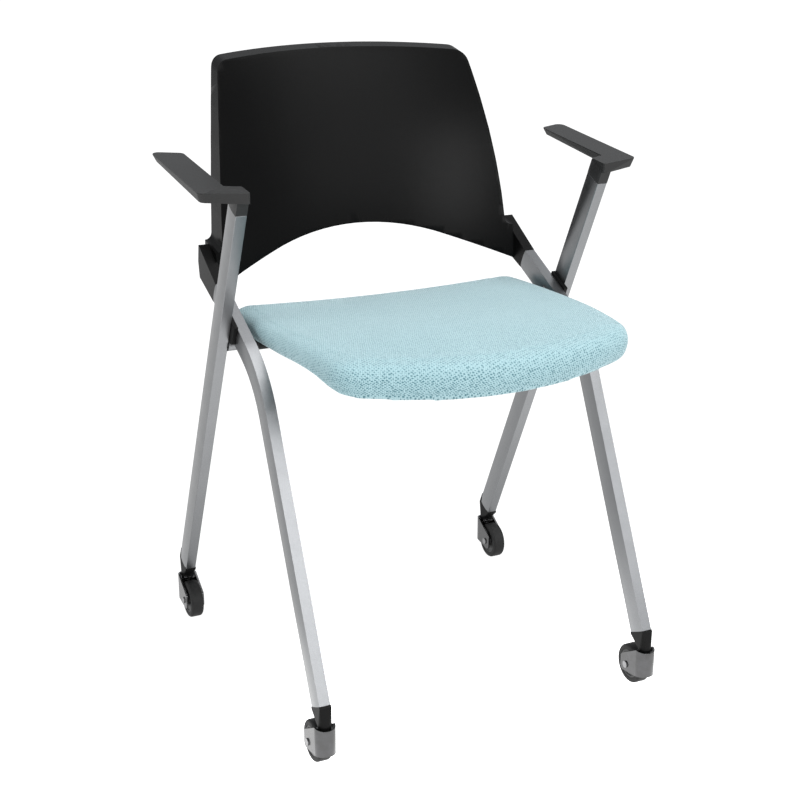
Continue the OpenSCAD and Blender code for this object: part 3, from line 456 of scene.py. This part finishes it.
# The knit's coordinates: the plan on top, carried on down the sides
TOP_SLOPE, TOP_IN, SIDE_IN = 0.9, 22 * MM, 30 * MM
FIT_HALF_WIDTH, FIT_HALF_DEPTH = 200 * MM, 250 * MM
# Cloth that runs out over the edge, by the drop below the crown's own curve, in millimetres
EDGE_DROPS = [0, 1.5, 5.3, 11.6, 18.2, 26, 30, 34, 60]
EDGE_RUNS = [0, 0.1, 1.0, 4.7, 10.5, 21.6, 27, 35, 61]
FRONT_STRETCH, FRONT_TAUT = 130 * MM, 0.55
SIDE_STRETCH = 16 * MM

SEAM_ANGLE = math.radians(50)


def smooth(o, steps, group=""):
    s = o.modifiers.new("smooth", "SMOOTH")
    s.factor = 0.5
    s.iterations = steps
    s.vertex_group = group
    apply_all(o)


def marked(o, name, chosen):
    """Vertex group of the chosen points."""
    group = o.vertex_groups.new(name=name)
    group.add([int(i) for i in np.nonzero(chosen)[0]], 1.0, "REPLACE")


def level_cad():
    """The CAD cushion's mesh, level, with the hinge at the origin."""
    cad = NODES["seat_cushion"]
    me = cad.data.copy()
    me.transform(cad.matrix_world)
    me.transform(SEAT.inverted())
    me.materials.clear()
    return me


def filled_pad(me, recess):
    """The cushion with its recess filled, in even small faces and with a soft lip."""
    filler = prism("filler", recess, FILLER_LOW, PAN_ROOF + FILLER_OVERLAP)
    bm = bmesh.new()
    bm.from_mesh(me)
    bm.from_mesh(filler.data)
    bm.to_mesh(me)
    bm.free()
    bpy.data.objects.remove(filler)
    o = new_object("cushion_cover", me)
    remesh = o.modifiers.new("remesh", "REMESH")
    remesh.mode = "VOXEL"
    remesh.voxel_size = VOXEL
    remesh.adaptivity = 0
    smooth(o, EVEN_STEPS)
    marked(o, "lip", normals_of(o.data)[:, 2] < LIP_SLOPE)
    smooth(o, LIP_STEPS, "lip")
    return o


def swell(o, hull):
    """Blow the pad up as cloth from a little inside, and keep it near the CAD's form."""
    co = points_of(o.data)
    no = normals_of(o.data)
    inside, _ = outline_side(co[:, :2], hull)
    under = (no[:, 2] < UNDER_SLOPE) & (inside > HELD_IN)
    free = np.where(under, 0.0, 1.0)
    start = co - no * (SHRINK * free)[:, None]
    set_points(o.data, start)
    marked(o, "held", under)
    settings = o.modifiers.new("swell", "CLOTH").settings
    for key, value in CLOTH.items():
        setattr(settings, key, value)
    settings.vertex_group_mass = "held"
    settings.effector_weights.gravity = 0
    scene = bpy.context.scene
    for f in range(1, SWELL_FRAMES + 1):
        scene.frame_set(f)
    apply_all(o)
    out = np.clip(((points_of(o.data) - start) * no).sum(axis=1), -CAP_IN, CAP_OUT)
    set_points(o.data, co + no * (out * free)[:, None])
    scene.frame_set(1)


def crown_terms(x, y):
    """Terms of the smooth surface that is fitted to the cushion's top, the same left and right."""
    u, v = x / FIT_HALF_WIDTH, y / FIT_HALF_DEPTH
    return np.column_stack([np.ones_like(u), v, v ** 2, v ** 3, v ** 4,
                            u ** 2, u ** 2 * v, u ** 2 * v ** 2, u ** 4])


def add_weave(o, hull):
    """Give each point its place on the unrolled cloth, and how far the cloth is stretched there."""
    co = points_of(o.data)
    no = normals_of(o.data)
    inside, out = outline_side(co[:, :2], hull)
    top = (no[:, 2] > TOP_SLOPE) & (inside > TOP_IN)
    x, y = co[:, 0], co[:, 1]
    fit, *_ = np.linalg.lstsq(crown_terms(x[top], y[top]), co[top, 2], rcond=None)
    drop = np.clip(crown_terms(x, y) @ fit - co[:, 2], 0, None)
    drop[inside > SIDE_IN] = 0
    run = np.interp(drop / MM, EDGE_DROPS, EDGE_RUNS) * MM
    weave = np.zeros_like(co)
    weave[:, :2] = co[:, :2] + out * run[:, None]
    front = np.clip((hull[:, 1].min() + FRONT_STRETCH - y) / FRONT_STRETCH, 0, 1)
    weave[:, 2] = np.clip(FRONT_TAUT * front + run / SIDE_STRETCH, 0, 1)
    attr = o.data.attributes.new("weave", "FLOAT_VECTOR", "POINT")
    attr.data.foreach_set("vector", np.ascontiguousarray(weave).ravel())


def cut_recesses(o, recess):
    """Cut the pan's recess and the cross tube's way out of the pad."""
    cutters = [prism("cut_pan", recess + PAN_ROOM * np.sign(recess), -BELOW, PAN_ROOF),
               round_bar("cut_tube", BAR_ROOM_R, BAR_HALF)]
    for c in cutters:
        cut = o.modifiers.new("cut", "BOOLEAN")
        cut.operation = "DIFFERENCE"
        cut.solver = "MANIFOLD"
        cut.object = c
    apply_all(o)
    for c in cutters:
        bpy.data.objects.remove(c)


def build_cushion():
    """The padded cover, which stands for the CAD's plain cushion."""
    me = level_cad()
    co = points_of(me)
    hull = plan_hull(co[:, :2])
    recess = plan_hull(co[np.abs(co[:, 2] - PAN_ROOF) < ROOF_SLACK][:, :2])
    o = filled_pad(me, recess)
    swell(o, hull)
    fine = o.modifiers.new("fine", "SUBSURF")
    fine.levels = 1
    fine.render_levels = 1
    apply_all(o)
    add_weave(o, hull)
    cut_recesses(o, recess)
    o.data.transform(SEAT)
    o.data.update()
    o.data.shade_smooth()
    o.data.set_sharp_from_angle(angle=SEAM_ANGLE)
    o.data.materials.clear()
    o.data.materials.append(MATERIALS["seat_fabric"])
    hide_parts("seat_cushion")
    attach(o, "seat")


build_cushion()


# Hinge sleeves: one on each side of the cross tube, between the hinge and the leg

SLEEVE_IN, SLEEVE_OUT = 201.9 * MM, 217.1 * MM
SLEEVE_BORE_R, SLEEVE_WAIST_R, SLEEVE_RIM_R = 10.2 * MM, 12.4 * MM, 13.0 * MM
SLEEVE_RIM, SLEEVE_CHAMFER = 2.0 * MM, 0.6 * MM
SLEEVE_STEPS = 64
SLEEVE_ANGLE = math.radians(30)


def sleeve_profile():
    """Places along the tube and radii of the sleeve's section, with a rim at each end."""
    rim_start = SLEEVE_CHAMFER
    rim_end = rim_start + SLEEVE_RIM
    waist = rim_end + SLEEVE_CHAMFER
    steps = [(0, SLEEVE_BORE_R), (0, SLEEVE_WAIST_R), (rim_start, SLEEVE_RIM_R),
             (rim_end, SLEEVE_RIM_R), (waist, SLEEVE_WAIST_R)]
    return ([(SLEEVE_IN + x, r) for x, r in steps]
            + [(SLEEVE_OUT - x, r) for x, r in reversed(steps)])


def hinge_sleeve(name, side):
    """Plastic sleeve on the cross tube."""
    profile = sleeve_profile()
    n = len(profile)
    bm = bmesh.new()
    rings = []
    for k in range(SLEEVE_STEPS):
        a = 2 * math.pi * k / SLEEVE_STEPS
        rings.append([bm.verts.new(HINGE + Vector((side * x, r * math.cos(a), r * math.sin(a))))
                      for x, r in profile])
    for k in range(SLEEVE_STEPS):
        a, b = rings[k], rings[(k + 1) % SLEEVE_STEPS]
        for i in range(n):
            bm.faces.new((a[i], a[(i + 1) % n], b[(i + 1) % n], b[i]))
    bmesh.ops.recalc_face_normals(bm, faces=bm.faces)
    me = bpy.data.meshes.new(name)
    bm.to_mesh(me)
    bm.free()
    me.shade_smooth()
    me.set_sharp_from_angle(angle=SLEEVE_ANGLE)
    me.materials.append(MATERIALS["black_plastic"])
    o = new_object(name, me)
    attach(o, "frame")


hinge_sleeve("hinge_sleeve_left", 1)
hinge_sleeve("hinge_sleeve_right", -1)


# Floor

FLOOR_REACH = 60.0
FLOOR_LOW = -0.4 * MM
# Emission strengths: the floor's even glow, a painted pool of light below the chair, and a faint painted glow over
# the floor's right that leaves its left darker
FLOOR_BASE, FLOOR_PAINTED_POOL, FLOOR_PAINTED_RIGHT_GLOW = 0.97, 0.85, 0.05
# Where the painted pool of light below the chair comes and goes, and where the floor's faint painted glow rises
# from left to right, in metres
POOL_REAR, POOL_FRONT, POOL_RIGHT = (0.2, -0.05), (-0.9, -0.4), (1.0, 0.5)
RIGHT_GLOW_RAMP = (-0.65, -0.1)


def painted_glow_floor():
    """White glowing sweep, with a painted pool of light below the chair and a faint painted glow that leaves its
    left side darker.
    """
    m = Mat("floor_white", Roughness=0.9, Base_Color=grey(0.10), Specular_IOR_Level=0.0,
            Emission_Color=grey(1))
    x, y, _ = m.node("ShaderNodeSeparateXYZ", Vector=m.place()).outputs
    # Painted pool of light on the floor below the chair
    under = m.math("MULTIPLY", m.span(y, *POOL_REAR, smooth=True), m.span(y, *POOL_FRONT, smooth=True))
    under = m.math("MULTIPLY", under, m.span(x, *POOL_RIGHT, smooth=True))
    # Faint painted glow on the floor's right, so that its left is darker
    painted_right_glow = m.span(x, *RIGHT_GLOW_RAMP, 0.0, FLOOR_PAINTED_RIGHT_GLOW, smooth=True)
    # Painted glow: the pool below the chair and the faint glow on the right, added to the floor's even glow
    painted_glow = m.math("MULTIPLY_ADD", under, FLOOR_PAINTED_POOL, painted_right_glow)
    m.link(m.math("ADD", painted_glow, FLOOR_BASE), "Emission Strength")
    return m.mat


def build_floor():
    """One large square just below the wheels."""
    signs = ((-1, -1), (1, -1), (1, 1), (-1, 1))
    corners = [(x * FLOOR_REACH, y * FLOOR_REACH, FLOOR_LOW) for x, y in signs]
    me = bpy.data.meshes.new("floor")
    me.from_pydata(corners, [], [range(len(corners))])
    floor = new_object("floor", me)
    me.materials.append(painted_glow_floor())


build_floor()


# World and lights

WORLD_COLOUR, WORLD_STRENGTH = (0.95, 0.97, 1.0, 1), 0.7


def build_world():
    world = bpy.data.worlds.new("studio")
    world.use_nodes = True
    background = world.node_tree.nodes["Background"].inputs
    background["Color"].default_value = WORLD_COLOUR
    background["Strength"].default_value = WORLD_STRENGTH
    bpy.context.scene.world = world


def softbox(name, place, aim, size, watts):
    """Rectangular area light; places and size in metres."""
    data = bpy.data.lights.new(name, "AREA")
    data.shape = "RECTANGLE"
    data.size, data.size_y = size
    data.energy = watts
    o = new_object(name, data)
    o.location = place
    o.rotation_mode = "QUATERNION"
    o.rotation_quaternion = (Vector(aim) - Vector(place)).to_track_quat("-Z", "Y")


bpy.context.scene.view_settings.view_transform = "Standard"
build_world()
# The key shows in the front legs' front faces, the high one in their knees, the fill in the back
softbox("key", place=(1.0, -2.06, 1.7), aim=(0, 0, 0.4), size=(1.5, 2.0), watts=28)
softbox("high", place=(0.95, -1.25, 2.65), aim=(-0.2, -0.1, 0.4), size=(1.6, 1.2), watts=16)
softbox("fill", place=(-0.15, -2.45, 1.15), aim=(0.1, 0.2, 0.6), size=(0.7, 1.2), watts=28)
softbox("side", place=(-2.6, -0.3, 1.7), aim=(0, 0, 0.45), size=(1.6, 1.6), watts=34)
softbox("top", place=(0.6, -0.1, 3.2), aim=(0, 0, 0.4), size=(2.2, 2.2), watts=46)


# Camera, at the photograph's viewing angle

CAMERA_PLACE = (-0.8005, -1.6741, 0.9831)
CAMERA_DOWN, CAMERA_TURN = math.radians(18.5945), math.radians(25.0987)
CAMERA_LENS, CAMERA_SENSOR = 67.03, 36.0


def build_camera():
    data = bpy.data.cameras.new("camera")
    data.sensor_width = CAMERA_SENSOR
    data.lens = CAMERA_LENS
    o = new_object("camera", data)
    turn = Euler((math.pi / 2 - CAMERA_DOWN, 0, -CAMERA_TURN)).to_matrix().to_4x4()
    o.matrix_world = Matrix.Translation(CAMERA_PLACE) @ turn
    bpy.context.scene.camera = o


build_camera()
